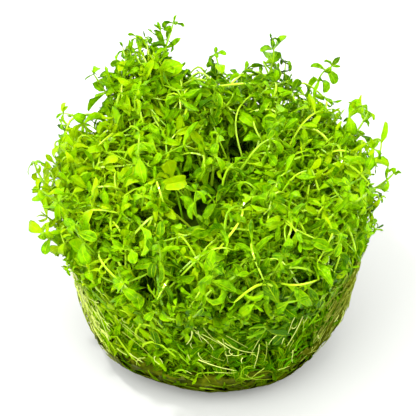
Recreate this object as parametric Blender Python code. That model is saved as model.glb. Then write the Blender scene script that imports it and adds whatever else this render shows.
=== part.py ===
# Pearlweed: a round portion of the water plant, grown in a cup and taken out of it.
# A root mat, moulded by the bottom of the cup, carries a dense thicket of stems and small leaves.
# Single sprigs stand out of the thicket, round its overhanging rim and all over its crown.
# Metres, +Z up. The origin is the centre of the mat's flat foot. The front looks towards -Y.

import math
import random

import bmesh
import bpy
from mathutils import Matrix, Vector

UP = Vector((0.0, 0.0, 1.0))
THICKET_SEED = 21
FIRST_SPRIG_SEED = 61

# The cup that moulded the portion
FOOT_RADIUS = 0.0164
CORNER_RADIUS = 0.0133
WALL_SLOPE = math.tan(math.radians(9.5))
CUP_EDGE = 0.027

# Root mat
MAT_TOP = 0.0100
MAT_SEGMENTS = 36
MAT_RINGS = 4
GAP = 0.0003

# Thicket: its rim, its crown, and how far the crown sits off the foot's centre
RIM_HEIGHT = 0.0390
RIM_RADIUS = 0.0336
CROWN_RISE = 0.0060
CROWN_SHIFT = -0.0009
CROWN_CELLS = 9
CROWN_UNEVENNESS = 0.0007
WALL_RINGS = 5

# Swells and hollows of the crown: x, y, rise and spread
CROWN_SWELLS = (
    (-0.0150, 0.0270, 0.0105, 0.0092),
    (0.0110, 0.0290, 0.0062, 0.0072),
    (0.0240, 0.0180, 0.0030, 0.0080),
    (0.0010, 0.0340, -0.0060, 0.0060),
    (-0.0290, 0.0180, -0.0055, 0.0080),
    (-0.0035, -0.0130, -0.0060, 0.0055),
    (0.0060, 0.0065, -0.0050, 0.0055),
)

# Stems and the leaf tips fused to the thicket
STEM_WIDTH = 0.0009
TUFT_STEM_WIDTH = 0.00081
NODE_HEIGHT = 0.0008
TUFT_LEAF = 0.0036

# Humps that the growth bulges into: how far they rise, stray and turn, and which way they head
HUMP_RISE = (0.0011, 0.0022)
HUMP_STRAY = 0.0009
HUMP_TURN = math.radians(38.0)
HUMP_INSET = 0.3 * STEM_WIDTH
HEADING_STRAY = 0.35
CROWN_UPWARD = 1.3
RIM_UPWARD = 1.8
SPILL_UPWARD = 0.5

# Leaves that the cup pressed flat: their size, how it varies, and how they lie
PRESSED_LENGTH = 0.0052
PRESSED_WIDTH = 0.0028
PRESSED_RISE = 0.0005
PRESSED_TOP = 0.85
PRESSED_SIZES = (0.8, 1.1)
PRESSED_TURNS = (math.radians(15.0), math.radians(75.0))

# Leaves: share of the length, and of the width, at each section from the stem to the blunt tip
LEAF_LENGTH = 0.0042
LEAF_WIDTH = 0.0023
LEAF_THICKNESS = 0.00045
LEAF_SECTIONS = ((0.6, 1.0), (1.0, 0.45))
LEAF_SIZES = (0.88, 1.12)
LEAF_RISES = (math.radians(18.0), math.radians(42.0))
LEAF_DROOPS = (0.05, 0.25)

# Sprigs: how far they stand out, and the heights of their leaves as shares of that
SPRIG_LENGTH = 0.0070
SPRIG_SHARES = (0.8, 1.25)
SPRIG_BEND = 0.14
LONG_SPRIG = 0.0082
SHORT_LEVELS = (0.56, 1.0)
LONG_LEVELS = (0.42, 0.74, 1.0)

# Stem and leaves get smaller from level to level, and the leaves round the tip are smaller still
STEM_TAPER = 0.14
LOWEST_PAIR = 1.05
PAIR_TAPER = 0.12
TIP_WHORL = 0.8

# The sprigs along the back of the crown reach their own heights, and those round the rim stay short
BACK_SHARES = {5: 0.8, 10: 1.25, 15: 0.8, 20: 1.1, 25: 0.85}
FIRST_RIM_SPRIG = 26
RIM_SHARE = 0.8

# The corners of a stem's section, in the order in which its end face lists them
SQUARE = ((1, -1), (1, 1), (-1, 1), (-1, -1))

LEAF_GREEN = (0.28, 0.56, 0.02, 1.0)
THICKET_GREEN = (0.20, 0.43, 0.015, 1.0)
MAT_OLIVE = (0.13, 0.17, 0.02, 1.0)


def clear_scene():
    for thing in list(bpy.data.objects):
        bpy.data.objects.remove(thing)


def finish_material(name, colour, roughness):
    material = bpy.data.materials.new(name)
    material.use_nodes = True
    shader = material.node_tree.nodes["Principled BSDF"]
    shader.inputs["Base Color"].default_value = colour
    shader.inputs["Roughness"].default_value = roughness
    shader.inputs["Metallic"].default_value = 0.0
    return material


def add_object(name, mesh, material):
    bmesh.ops.recalc_face_normals(mesh, faces=mesh.faces)
    data = bpy.data.meshes.new(name)
    mesh.to_mesh(data)
    mesh.free()
    data.materials.append(material)
    thing = bpy.data.objects.new(name, data)
    bpy.context.scene.collection.objects.link(thing)
    return thing


# Shape of the portion


def eased(share):
    share = min(max(share, 0.0), 1.0)
    return share * share * (3.0 - 2.0 * share)


def spill(height):
    return eased((height - CUP_EDGE) / (RIM_HEIGHT - CUP_EDGE))


def cup_radius(height):
    if height < CORNER_RADIUS:
        return FOOT_RADIUS + math.sqrt(CORNER_RADIUS**2 - (CORNER_RADIUS - height) ** 2)
    return FOOT_RADIUS + CORNER_RADIUS + (height - CORNER_RADIUS) * WALL_SLOPE


# The growth is a little uneven round the cup, and more so where it spills over the edge
def side_radius(azimuth, height):
    dents = 0.00035 * math.sin(5.0 * azimuth + 1.1) + 0.00025 * math.sin(9.0 * azimuth + 4.0)
    lobes = 0.0008 * math.sin(4.0 * azimuth + 0.6) + 0.0006 * math.sin(7.0 * azimuth + 2.0)
    radius = cup_radius(height)
    return radius + dents + (RIM_RADIUS + lobes - radius) * spill(height)


def crown_height(x, y):
    share = min(math.hypot(x, y) / RIM_RADIUS, 1.0)
    height = RIM_HEIGHT + CROWN_RISE * (1.0 - share**3) ** (1.0 / 3.0)
    for swell_x, swell_y, rise, spread in CROWN_SWELLS:
        away = ((x - swell_x) ** 2 + (y - swell_y) ** 2) / spread**2
        height += rise * math.exp(-away)
    return height


def stray(reach, dice):
    return Vector([dice.uniform(-reach, reach) for _ in range(3)])


# Extrudes a closed loop of edges from ring to ring, then caps it. Returns the faces of each ring
def extend_rings(mesh, loop, heights, radius_at):
    rings = []
    for height in heights:
        made = bmesh.ops.extrude_edge_only(mesh, edges=loop)["geom"]
        for corner in [item for item in made if isinstance(item, bmesh.types.BMVert)]:
            azimuth = math.atan2(corner.co.y, corner.co.x)
            radius = radius_at(azimuth, height)
            corner.co = (radius * math.cos(azimuth), radius * math.sin(azimuth), height)
        loop = [item for item in made if isinstance(item, bmesh.types.BMEdge)]
        rings.append([item for item in made if isinstance(item, bmesh.types.BMFace)])
    bmesh.ops.contextual_create(mesh, geom=loop)
    return rings


def build_root_mat(material):
    mesh = bmesh.new()
    bmesh.ops.create_circle(
        mesh,
        cap_ends=True,
        radius=FOOT_RADIUS,
        segments=MAT_SEGMENTS,
    )
    heights = []
    for ring in range(1, MAT_RINGS + 1):
        heights.append(MAT_TOP * (ring / MAT_RINGS) ** 2)
    extend_rings(mesh, list(mesh.edges), heights, side_radius)
    mat = add_object("root_mat", mesh, material)
    mat.data.shade_smooth()
    mat.data.set_sharp_from_angle(angle=math.radians(40.0))


# Stems and leaves


# A frame on a four-sided face: Z along the heading, X towards the face's first edge
def corner_frame(face, heading):
    centre = face.calc_center_median()
    across = 0.5 * (face.verts[0].co + face.verts[1].co) - centre
    across -= heading * across.dot(heading)
    across.normalize()
    frame = Matrix((across, heading.cross(across), heading)).transposed().to_4x4()
    frame.translation = centre
    return frame


def place_corners(face, frame, half, height, bend=0.0):
    for corner, (x, y) in zip(face.verts, SQUARE):
        corner.co = frame @ Vector((bend + x * half, y * half, height))


# Draws a stem on from its end face, and returns the new end face
def draw_stem(mesh, end, frame, half, height, bend=0.0):
    made = bmesh.ops.extrude_discrete_faces(mesh, faces=[end])["faces"][0]
    place_corners(made, frame, half, height, bend)
    return made


def side_faces(end):
    return [next(face for face in edge.link_faces if face is not end) for edge in end.edges]


# Draws a leaf out of a face: out to its widest section, then to a blunt tip as thin as an edge
def draw_leaf(mesh, face, along, level, length, width, droop):
    across = level.cross(along)
    start = face.calc_center_median()
    for share, wide in LEAF_SECTIONS:
        face = bmesh.ops.extrude_discrete_faces(mesh, faces=[face])["faces"][0]
        middle = face.calc_center_median()
        centre = start + along * (share * length) - level * (droop * share**2 * length)
        for corner in face.verts:
            away = corner.co - middle
            side = math.copysign(0.5 * width * wide, away.dot(across))
            lift = math.copysign(0.5 * LEAF_THICKNESS, away.dot(level))
            corner.co = centre + across * side + level * lift
    upright = []
    for edge in face.edges:
        run = edge.verts[0].co - edge.verts[1].co
        if abs(run.dot(level)) > abs(run.dot(across)):
            upright.append(edge)
    bmesh.ops.collapse(mesh, edges=upright)


def draw_whorl(mesh, sides, heading, length, dice):
    for side in sides:
        side.normal_update()
        outward = side.normal - heading * side.normal.dot(heading)
        outward.normalize()
        rise = dice.uniform(*LEAF_RISES)
        along = outward * math.cos(rise) + heading * math.sin(rise)
        level = heading * math.cos(rise) - outward * math.sin(rise)
        size = length * dice.uniform(*LEAF_SIZES)
        width = size * LEAF_WIDTH / LEAF_LENGTH
        draw_leaf(mesh, side, along, level, size, width, dice.uniform(*LEAF_DROOPS))


# Raises a face of the thicket into a hump with a small flat top, square to the heading
def raise_hump(mesh, face, heading, dice):
    frame = corner_frame(face, heading)
    frame.translation += frame.to_3x3() @ Vector(
        (
            dice.uniform(-HUMP_STRAY, HUMP_STRAY),
            dice.uniform(-HUMP_STRAY, HUMP_STRAY),
            dice.uniform(*HUMP_RISE),
        )
    )
    frame = frame @ Matrix.Rotation(dice.uniform(-HUMP_TURN, HUMP_TURN), 4, "Z")
    bmesh.ops.inset_individual(mesh, faces=[face], thickness=HUMP_INSET)
    place_corners(face, frame, 0.5 * STEM_WIDTH, 0.0)
    return frame


# Leaves fused to the thicket: a short piece of stem with one pair, or with a whorl of four
def grow_tuft(mesh, face, heading, leaves, dice):
    frame = raise_hump(mesh, face, heading, dice)
    end = draw_stem(mesh, face, frame, 0.5 * TUFT_STEM_WIDTH, NODE_HEIGHT)
    sides = side_faces(end)
    if leaves == 2:
        sides = sides[dice.randrange(2) :: 2]
    draw_whorl(mesh, sides, heading, TUFT_LEAF, dice)


# A leaf that the cup pressed flat: a low lozenge turned any way, drawn up from the wall
def press_leaf(mesh, face, dice):
    face.normal_update()
    frame = corner_frame(face, face.normal.copy())
    frame = frame @ Matrix.Rotation(dice.uniform(*PRESSED_TURNS), 4, "Z")
    bmesh.ops.inset_individual(mesh, faces=[face], thickness=HUMP_INSET)
    size = dice.uniform(*PRESSED_SIZES)
    length = 0.5 * size * PRESSED_LENGTH
    width = 0.5 * size * PRESSED_WIDTH
    outline = ((0.0, -length), (width, 0.0), (0.0, length), (-width, 0.0))
    for corner, (x, y) in zip(face.verts, outline):
        corner.co = frame @ Vector((x, y, 0.0))
    face = bmesh.ops.extrude_discrete_faces(mesh, faces=[face])["faces"][0]
    for corner, (x, y) in zip(face.verts, outline):
        corner.co = frame @ Vector((x * PRESSED_TOP, y * PRESSED_TOP, PRESSED_RISE))


# Thicket


# The crown's cells as a square grid, drawn out to a disc so that all cells keep about one size
def crown_cells(mesh, dice):
    bmesh.ops.create_grid(mesh, x_segments=CROWN_CELLS, y_segments=CROWN_CELLS, size=1.0)
    cells = {}
    for face in mesh.faces:
        centre = face.calc_center_median()
        column = round((centre.x + 1.0) * CROWN_CELLS / 2.0 - 0.5)
        row = round((centre.y + 1.0) * CROWN_CELLS / 2.0 - 0.5)
        cells[column, row] = face
    for corner in mesh.verts:
        x, y, _ = corner.co
        reach = side_radius(math.atan2(y, x), RIM_HEIGHT)
        corner.co.x = reach * x * math.sqrt(1.0 - 0.5 * y * y)
        corner.co.y = reach * y * math.sqrt(1.0 - 0.5 * x * x)
        corner.co.z = crown_height(corner.co.x, corner.co.y)
        if not corner.is_boundary:
            corner.co += stray(CROWN_UNEVENNESS, dice)
    return cells


def heading_of(face, upward, dice):
    face.normal_update()
    return (face.normal + UP * upward + stray(HEADING_STRAY, dice)).normalized()


def by_azimuth(faces):
    centres = {face: face.calc_center_median() for face in faces}
    return sorted(faces, key=lambda face: math.atan2(centres[face].y, centres[face].x))


# Grows the thicket's surface, and returns it with the places where sprigs stand on it
def thicket_mesh():
    mesh = bmesh.new()
    dice = random.Random(THICKET_SEED)
    cells = crown_cells(mesh, dice)
    rim = [edge for edge in mesh.edges if edge.is_boundary]
    foot = MAT_TOP + GAP
    heights = [
        RIM_HEIGHT + (foot - RIM_HEIGHT) * ring / WALL_RINGS for ring in range(1, WALL_RINGS + 1)
    ]
    rings = [by_azimuth(faces) for faces in extend_rings(mesh, rim, heights, side_radius)]
    for corner in mesh.verts:
        corner.co.x += CROWN_SHIFT * spill(corner.co.z)
    bmesh.ops.recalc_face_normals(mesh, faces=mesh.faces)
    seats = []
    for (column, row), face in sorted(cells.items()):
        heading = heading_of(face, CROWN_UPWARD, dice)
        if column % 2 == 0 and row % 2 == 0:
            seats.append(raise_hump(mesh, face, heading, dice))
        elif column % 2 == 1 and row % 2 == 1:
            grow_tuft(mesh, face, heading, 4, dice)
        else:
            grow_tuft(mesh, face, heading, 2, dice)
    for place, face in enumerate(rings[0]):
        heading = heading_of(face, RIM_UPWARD, dice)
        if place % 3 == 0:
            seats.append(raise_hump(mesh, face, heading, dice))
        elif place % 3 == 1:
            grow_tuft(mesh, face, heading, 2, dice)
    for face in rings[1][1::3]:
        grow_tuft(mesh, face, heading_of(face, SPILL_UPWARD, dice), 4, dice)
    for ring, faces in enumerate(rings[2:]):
        for face in faces[ring % 3 :: 3]:
            press_leaf(mesh, face, dice)
    return mesh, seats


# One sprig, upright at its own origin: crossed pairs of leaves, then four round the tip
def sprig_mesh(length, levels, dice):
    mesh = bmesh.new()
    low = levels[0] * length - NODE_HEIGHT
    first_run = Matrix.Diagonal((STEM_WIDTH, STEM_WIDTH, low, 1.0))
    bmesh.ops.create_cube(mesh, size=1.0, matrix=Matrix.Translation((0.0, 0.0, 0.5 * low)) @ first_run)
    end = max(mesh.faces, key=lambda face: face.calc_center_median().z)
    frame = corner_frame(end, UP)
    frame.translation = (0.0, 0.0, 0.0)
    bend = length * dice.uniform(-SPRIG_BEND, SPRIG_BEND)
    for level, share in enumerate(levels):
        half = 0.5 * STEM_WIDTH * (1.0 - STEM_TAPER * level)
        top = share * length
        if level > 0:
            low_share = share - NODE_HEIGHT / length
            end = draw_stem(mesh, end, frame, half, top - NODE_HEIGHT, bend * low_share**2)
        end = draw_stem(mesh, end, frame, half, top, bend * share**2)
        sides = side_faces(end)
        size = LEAF_LENGTH * (LOWEST_PAIR - PAIR_TAPER * level)
        if share < 1.0:
            draw_whorl(mesh, sides[level % 2 :: 2], UP, size, dice)
        else:
            draw_whorl(mesh, sides, UP, TIP_WHORL * size, dice)
    return mesh


def build_thicket_and_sprigs(thicket_green, leaf_green):
    mesh, seats = thicket_mesh()
    add_object("thicket", mesh, thicket_green)
    for number, seat in enumerate(seats, start=1):
        dice = random.Random(FIRST_SPRIG_SEED + number - 1)
        share = BACK_SHARES.get(number, dice.uniform(*SPRIG_SHARES))
        length = SPRIG_LENGTH * share * (RIM_SHARE if number >= FIRST_RIM_SPRIG else 1.0)
        levels = LONG_LEVELS if length > LONG_SPRIG else SHORT_LEVELS
        sprig = add_object(f"sprig_{number:02d}", sprig_mesh(length, levels, dice), leaf_green)
        sprig.rotation_mode = "QUATERNION"
        sprig.rotation_quaternion = seat.to_quaternion()
        sprig.location = seat @ Vector((0.0, 0.0, GAP))


def main():
    clear_scene()
    build_root_mat(finish_material("mat_olive", MAT_OLIVE, 0.7))
    build_thicket_and_sprigs(
        finish_material("thicket_green", THICKET_GREEN, 0.55),
        finish_material("leaf_green", LEAF_GREEN, 0.45),
    )


main()
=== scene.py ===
import math

import bpy
import numpy as np
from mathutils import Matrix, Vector
from mathutils.noise import noise as perlin


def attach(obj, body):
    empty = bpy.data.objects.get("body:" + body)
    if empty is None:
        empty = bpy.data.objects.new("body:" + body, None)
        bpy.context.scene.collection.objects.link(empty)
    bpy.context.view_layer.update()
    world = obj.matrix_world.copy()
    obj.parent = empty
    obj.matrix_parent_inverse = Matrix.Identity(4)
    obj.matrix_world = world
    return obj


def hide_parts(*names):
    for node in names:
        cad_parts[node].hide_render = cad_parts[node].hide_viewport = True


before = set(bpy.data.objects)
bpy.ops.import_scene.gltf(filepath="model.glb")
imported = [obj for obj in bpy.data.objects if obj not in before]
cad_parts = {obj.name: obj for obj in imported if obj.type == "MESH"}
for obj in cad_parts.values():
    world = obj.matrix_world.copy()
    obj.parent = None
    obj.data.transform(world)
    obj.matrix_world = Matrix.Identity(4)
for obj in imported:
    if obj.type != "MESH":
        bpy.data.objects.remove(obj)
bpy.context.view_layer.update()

# Pearlweed: a round portion of the water plant, grown in a cup and taken out of it.
# Hundreds of stems rise from a root mat. The cup pressed the outer ones flat, and above
# its edge they spill outwards. Metres, +Z up, the photographed front towards -Y.

mm = 0.001


# The portion's shape, with the same values as the part

form = {
    "footRadius": 16.4 * mm,
    "cornerRadius": 13.3 * mm,
    "wallSlope": math.tan(math.radians(9.5)),
    "cupEdge": 27.0 * mm,
    "matTop": 10.0 * mm,
    "rimHeight": 39.0 * mm,
    "rimRadius": 33.6 * mm,
    "crownRise": 6.0 * mm,
    "crownShift": -0.9 * mm,
    # swells and hollows of the crown: x, y, rise and spread
    "swells": (
        (-15.0 * mm, 27.0 * mm, 10.5 * mm, 9.2 * mm),
        (11.0 * mm, 29.0 * mm, 6.2 * mm, 7.2 * mm),
        (24.0 * mm, 18.0 * mm, 3.0 * mm, 8.0 * mm),
        (1.0 * mm, 34.0 * mm, -6.0 * mm, 6.0 * mm),
        (-29.0 * mm, 18.0 * mm, -5.5 * mm, 8.0 * mm),
        (-3.5 * mm, -13.0 * mm, -6.0 * mm, 5.5 * mm),
        (6.0 * mm, 6.5 * mm, -5.0 * mm, 5.5 * mm),
    ),
}
up = np.array((0.0, 0.0, 1.0))


def eased(share):
    share = np.clip(share, 0.0, 1.0)
    return share * share * (3.0 - 2.0 * share)


def rising(values, start, over):
    return eased((values - start) / over)


def falling(values, start, over):
    return eased((start - values) / over)


# How far the growth spills over the cup's edge at a height, from 0 to 1
def spill(height):
    return rising(height, form["cupEdge"], form["rimHeight"] - form["cupEdge"])


def cupRadius(height):
    corner = form["cornerRadius"]
    below = np.clip(corner - height, 0.0, corner)
    low = form["footRadius"] + np.sqrt(corner**2 - below**2)
    return low + np.maximum(height - corner, 0.0) * form["wallSlope"]


def sideRadius(azimuth, height):
    dents = 0.35 * mm * np.sin(5.0 * azimuth + 1.1) + 0.25 * mm * np.sin(9.0 * azimuth + 4.0)
    lobes = 0.8 * mm * np.sin(4.0 * azimuth + 0.6) + 0.6 * mm * np.sin(7.0 * azimuth + 2.0)
    radius = cupRadius(height)
    return radius + dents + (form["rimRadius"] + lobes - radius) * spill(height)


def crownHeight(x, y):
    share = np.minimum(np.hypot(x, y) / form["rimRadius"], 1.0)
    height = form["rimHeight"] + form["crownRise"] * (1.0 - share**3) ** (1.0 / 3.0)
    for swellX, swellY, rise, spread in form["swells"]:
        away = ((x - swellX) ** 2 + (y - swellY) ** 2) / spread**2
        height = height + rise * np.exp(-away)
    return height


def unit(vectors):
    return vectors / np.maximum(np.linalg.norm(vectors, axis=-1, keepdims=True), 1e-12)


def polar(points):
    return np.arctan2(points[..., 1], points[..., 0]), np.hypot(points[..., 0], points[..., 1])


def outwards(azimuth):
    return np.stack((np.cos(azimuth), np.sin(azimuth), np.zeros_like(azimuth)), axis=-1)


# How deep points lie inside the growth, and how far inside its side
def depths(points):
    azimuth, radius = polar(points)
    fromSide = sideRadius(azimuth, points[..., 2]) - radius
    fromCrown = crownHeight(points[..., 0], points[..., 1]) - points[..., 2]
    return np.minimum(fromSide, fromCrown), fromSide


def cornersOf(mesh):
    corners = np.zeros(len(mesh.vertices) * 3)
    mesh.vertices.foreach_get("co", corners)
    return corners.reshape(-1, 3)


# A round shape: its lowest ring, then the next ones, and the way back out of edit mode
def startRing(name, segments, radius, height, fill):
    bpy.ops.object.select_all(action="DESELECT")
    bpy.ops.mesh.primitive_circle_add(
        vertices=segments, radius=radius, fill_type=fill, location=(0.0, 0.0, height)
    )
    shape = bpy.context.object
    shape.name = name
    bpy.ops.object.transform_apply(location=True, rotation=False, scale=False)
    bpy.ops.object.mode_set(mode="EDIT")
    bpy.ops.mesh.select_all(action="SELECT")
    return shape


def raiseRing(rise, height, wider):
    bpy.ops.mesh.extrude_region_move(TRANSFORM_OT_translate={"value": (0.0, 0.0, rise)})
    bpy.ops.transform.resize(value=(wider, wider, 1.0), center_override=(0.0, 0.0, height))


def closeShape():
    bpy.ops.mesh.select_all(action="SELECT")
    bpy.ops.mesh.normals_make_consistent(inside=False)
    bpy.ops.object.mode_set(mode="OBJECT")


# Models that are drawn once and copied

leafShape = {
    "length": 5.2 * mm,
    "width": 2.3 * mm,
    "thickness": 0.24 * mm,
    "stalk": 0.2,
    "middle": 0.01 * mm,  # corners this near to the rib lie on it
    # shares of the length, the width and the thickness, from the stalk to the tip
    "fine": (
        (0.13, 0.34, 1.0),
        (0.34, 0.78, 1.0),
        (0.57, 1.0, 0.9),
        (0.78, 0.86, 0.8),
        (0.93, 0.50, 0.7),
    ),
    "plain": ((0.40, 0.86, 1.0), (0.80, 0.86, 0.8)),
}
stemShape = {"rings": 12, "sides": 4, "tip": 0.5}


def finishModel(name):
    closeShape()
    drawn = bpy.context.object
    mesh = drawn.data
    corners = cornersOf(mesh)
    loops = np.zeros(len(mesh.loops), np.int32)
    mesh.loops.foreach_get("vertex_index", loops)
    starts = np.zeros(len(mesh.polygons), np.int32)
    mesh.polygons.foreach_get("loop_start", starts)
    bpy.data.objects.remove(drawn)
    print("modelled", name)
    return {"corners": corners, "loops": loops, "starts": starts}


# A leaf along +Y: a flat lozenge section, extruded from the stalk to the round tip
def modelLeaf(name, sections):
    length, width, thickness = leafShape["length"], leafShape["width"], leafShape["thickness"]
    bpy.ops.object.select_all(action="DESELECT")
    bpy.ops.mesh.primitive_circle_add(
        vertices=4, radius=0.5, fill_type="NGON", rotation=(math.pi / 2, 0, 0)
    )
    bpy.ops.object.transform_apply(location=False, rotation=True, scale=False)
    bpy.ops.object.mode_set(mode="EDIT")
    bpy.ops.mesh.select_all(action="SELECT")
    wide, thick = leafShape["stalk"] * width, thickness
    bpy.ops.transform.resize(value=(wide, 1.0, thick), center_override=(0.0, 0.0, 0.0))
    along = 0.0
    for lengthShare, widthShare, thickShare in sections:
        step = lengthShare * length - along
        along += step
        bpy.ops.mesh.extrude_region_move(TRANSFORM_OT_translate={"value": (0.0, step, 0.0)})
        wider = (widthShare * width / wide, 1.0, thickShare * thickness / thick)
        bpy.ops.transform.resize(value=wider, center_override=(0.0, along, 0.0))
        wide, thick = widthShare * width, thickShare * thickness
    bpy.ops.mesh.extrude_region_move(TRANSFORM_OT_translate={"value": (0.0, length - along, 0.0)})
    bpy.ops.mesh.merge(type="CENTER")
    model = finishModel(name)
    corners = model["corners"]
    across = np.sign(np.round(corners[:, 0] / leafShape["middle"])) * 0.5 + 0.5
    model["map"] = np.stack((across, corners[:, 1] / length), axis=1)
    return model


# A stem along +Z, one ring to each step of its path, rounded a little at the tip
def modelStem(name, rings, sides):
    bpy.ops.object.select_all(action="DESELECT")
    bpy.ops.mesh.primitive_circle_add(vertices=sides, radius=1.0, fill_type="NGON")
    bpy.ops.object.mode_set(mode="EDIT")
    bpy.ops.mesh.select_all(action="SELECT")
    for ring in range(1, rings):
        bpy.ops.mesh.extrude_region_move(TRANSFORM_OT_translate={"value": (0.0, 0.0, 1.0)})
    tip = stemShape["tip"]
    bpy.ops.transform.resize(value=(tip, tip, 1.0), center_override=(0.0, 0.0, rings - 1.0))
    model = finishModel(name)
    corners = model["corners"]
    model["rings"] = np.round(corners[:, 2]).astype(int)
    turn = np.arctan2(corners[:, 1], corners[:, 0]) / (2.0 * math.pi) + 0.5
    model["map"] = np.stack((turn, corners[:, 2] / (rings - 1.0)), axis=1)
    return model


# Joins copies of a model into one piece. The marks are numbers that its material reads,
# one to each copy or to each ring of a copy
def joinCopies(name, model, corners, marks, finish):
    count, size = corners.shape[:2]
    mesh = bpy.data.meshes.new(name)
    loopCount, faceCount = len(model["loops"]), len(model["starts"])
    steps = np.arange(count)[:, None]
    mesh.vertices.add(count * size)
    mesh.vertices.foreach_set("co", corners.astype(np.float32).ravel())
    mesh.loops.add(count * loopCount)
    loops = model["loops"] + size * steps
    mesh.loops.foreach_set("vertex_index", loops.astype(np.int32).ravel())
    mesh.polygons.add(count * faceCount)
    starts = model["starts"] + loopCount * steps
    mesh.polygons.foreach_set("loop_start", starts.astype(np.int32).ravel())
    mesh.update(calc_edges=True)
    layer = mesh.uv_layers.new(name="growthMap")
    places = np.tile(model["map"][model["loops"]], (count, 1))
    layer.data.foreach_set("uv", places.astype(np.float32).ravel())
    for mark, values in marks.items():
        if np.ndim(values) == 1:
            values = np.repeat(values, size)
        else:
            values = values[:, model["rings"]]
        attribute = mesh.attributes.new(mark, "FLOAT", "POINT")
        attribute.data.foreach_set("value", values.astype(np.float32).ravel())
    mesh.shade_smooth()
    mesh.set_sharp_from_angle(angle=math.radians(50.0))
    mesh.materials.append(finish)
    piece = bpy.data.objects.new(name, mesh)
    bpy.context.scene.collection.objects.link(piece)
    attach(piece, "root")
    mesh.calc_loop_triangles()
    print("made", name, count, "copies", len(mesh.loop_triangles), "triangles")
    return piece


# Stems

growth = {
    "seed": 12,
    "spacing": 2.95 * mm,
    "rowStep": 0.866,  # rows of a triangular grid lie nearer than its columns
    "jitter": 1.1 * mm,
    "crownReach": 36.3 * mm,
    "tipSpread": (-2.4 * mm, 1.4 * mm),
    "edgeSpread": 1.8 * mm,
    "edgeFall": 1.4,
    "patches": 0.9 * mm,
    "lean": (0.12, 0.85),
    "sway": 0.42,
    "rimStems": 150,
    "rimHeight": (24.0 * mm, 38.5 * mm),
    "rimSpread": (-0.5 * mm, 3.0 * mm),
    "rimLift": 0.55,
    "rimSway": 0.35,
    "rooting": 0.78,
    "rootReach": 26.5 * mm,
    "rootHeight": (5.0 * mm, 9.0 * mm),
    "bow": (0.42, 0.38),
    "crowding": 1.35,  # of a path's steps towards its tip
    "wobble": (0.4 * mm, 2.1 * mm),
    "turns": (0.8, 2.4),
    "inside": (0.4 * mm, 1.6 * mm),
    "radius": (0.20 * mm, 0.31 * mm),
    "runners": 170,
    "arcs": 48,
    "arcStart": 33.0 * mm,
    "arcReach": 34.5 * mm,
    "arcRoot": 6.0 * mm,
    "arcSpan": (8.0 * mm, 18.0 * mm),
    "arcLift": (1.0 * mm, 3.6 * mm),
    "arcBow": 6.0 * mm,
    "arcTone": (0.30, 0.65),
    # more tips at one place, fewer at another: x, y, spread, and their count or the share that goes
    "added": (-15.0 * mm, 30.0 * mm, 5.0 * mm, 20),
    "bare": (15.0 * mm, 32.0 * mm, 9.0 * mm, 0.6),
    # places where tips stand higher or lower than the crown: x, y, spread and lift
    "lifts": (
        (-17.0 * mm, 29.0 * mm, 8.0 * mm, 3.4 * mm),
        (-4.0 * mm, 33.0 * mm, 6.0 * mm, 1.5 * mm),
        (14.0 * mm, 31.0 * mm, 8.0 * mm, -3.6 * mm),
        (30.0 * mm, 20.0 * mm, 6.0 * mm, -2.6 * mm),
        (-27.0 * mm, 17.0 * mm, 7.0 * mm, -2.4 * mm),
    ),
}
dice = np.random.default_rng(growth["seed"])


def crownTips():
    step, reach = growth["spacing"], growth["crownReach"]
    rows = int(reach / (step * growth["rowStep"])) + 1
    places = []
    for row in range(-rows, rows + 1):
        shift = 0.5 * step * (row % 2)
        for column in range(-rows, rows + 1):
            places.append((column * step + shift, row * step * growth["rowStep"]))
    places = np.array(places) + dice.uniform(-growth["jitter"], growth["jitter"], (len(places), 2))
    x, y, spread, share = growth["bare"]
    away = np.sum((places - (x, y)) ** 2, axis=1) / spread**2
    places = places[dice.uniform(0.0, 1.0, len(places)) > share * np.exp(-away)]
    x, y, spread, count = growth["added"]
    places = np.concatenate((places, dice.normal((x, y), spread, (count, 2))))
    radius = np.hypot(places[:, 0], places[:, 1])
    places, radius = places[radius < reach], radius[radius < reach]
    x, y = places.T
    height = crownHeight(x, y) - growth["edgeFall"] * np.maximum(radius - form["rimRadius"], 0.0)
    patches = np.sin(x / (1.9 * mm) + 0.6) * np.sin(y / (1.7 * mm) + 2.0)
    height += growth["patches"] * patches + dice.uniform(*growth["tipSpread"], len(x))
    towardsEdge = rising(radius, 0.5 * reach, 0.5 * reach)
    height += growth["edgeSpread"] * towardsEdge * dice.normal(0.3, 1.0, len(x))
    for liftX, liftY, spread, lift in growth["lifts"]:
        height += lift * np.exp(-((x - liftX) ** 2 + (y - liftY) ** 2) / spread**2)
    tips = np.stack((x, y, height), axis=1)
    azimuth, radius = polar(tips)
    least, most = growth["lean"]
    lean = least + most * (radius / reach)[:, None] ** 2
    heading = up + outwards(azimuth) * lean + dice.normal(0.0, growth["sway"], tips.shape)
    return tips, unit(heading)


def rimTips():
    count = growth["rimStems"]
    azimuth = (np.arange(count) + dice.uniform(-0.4, 0.4, count)) * 2.0 * math.pi / count
    height = dice.uniform(*growth["rimHeight"], count)
    spread = dice.uniform(*growth["rimSpread"], count)
    radius = sideRadius(azimuth, height) + spread * spill(height + 5.0 * mm)
    tips = outwards(azimuth) * radius[:, None] + up * height[:, None]
    heading = outwards(azimuth) + up * growth["rimLift"]
    heading = heading + dice.normal(0.0, growth["rimSway"], tips.shape)
    return tips, unit(heading)


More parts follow.
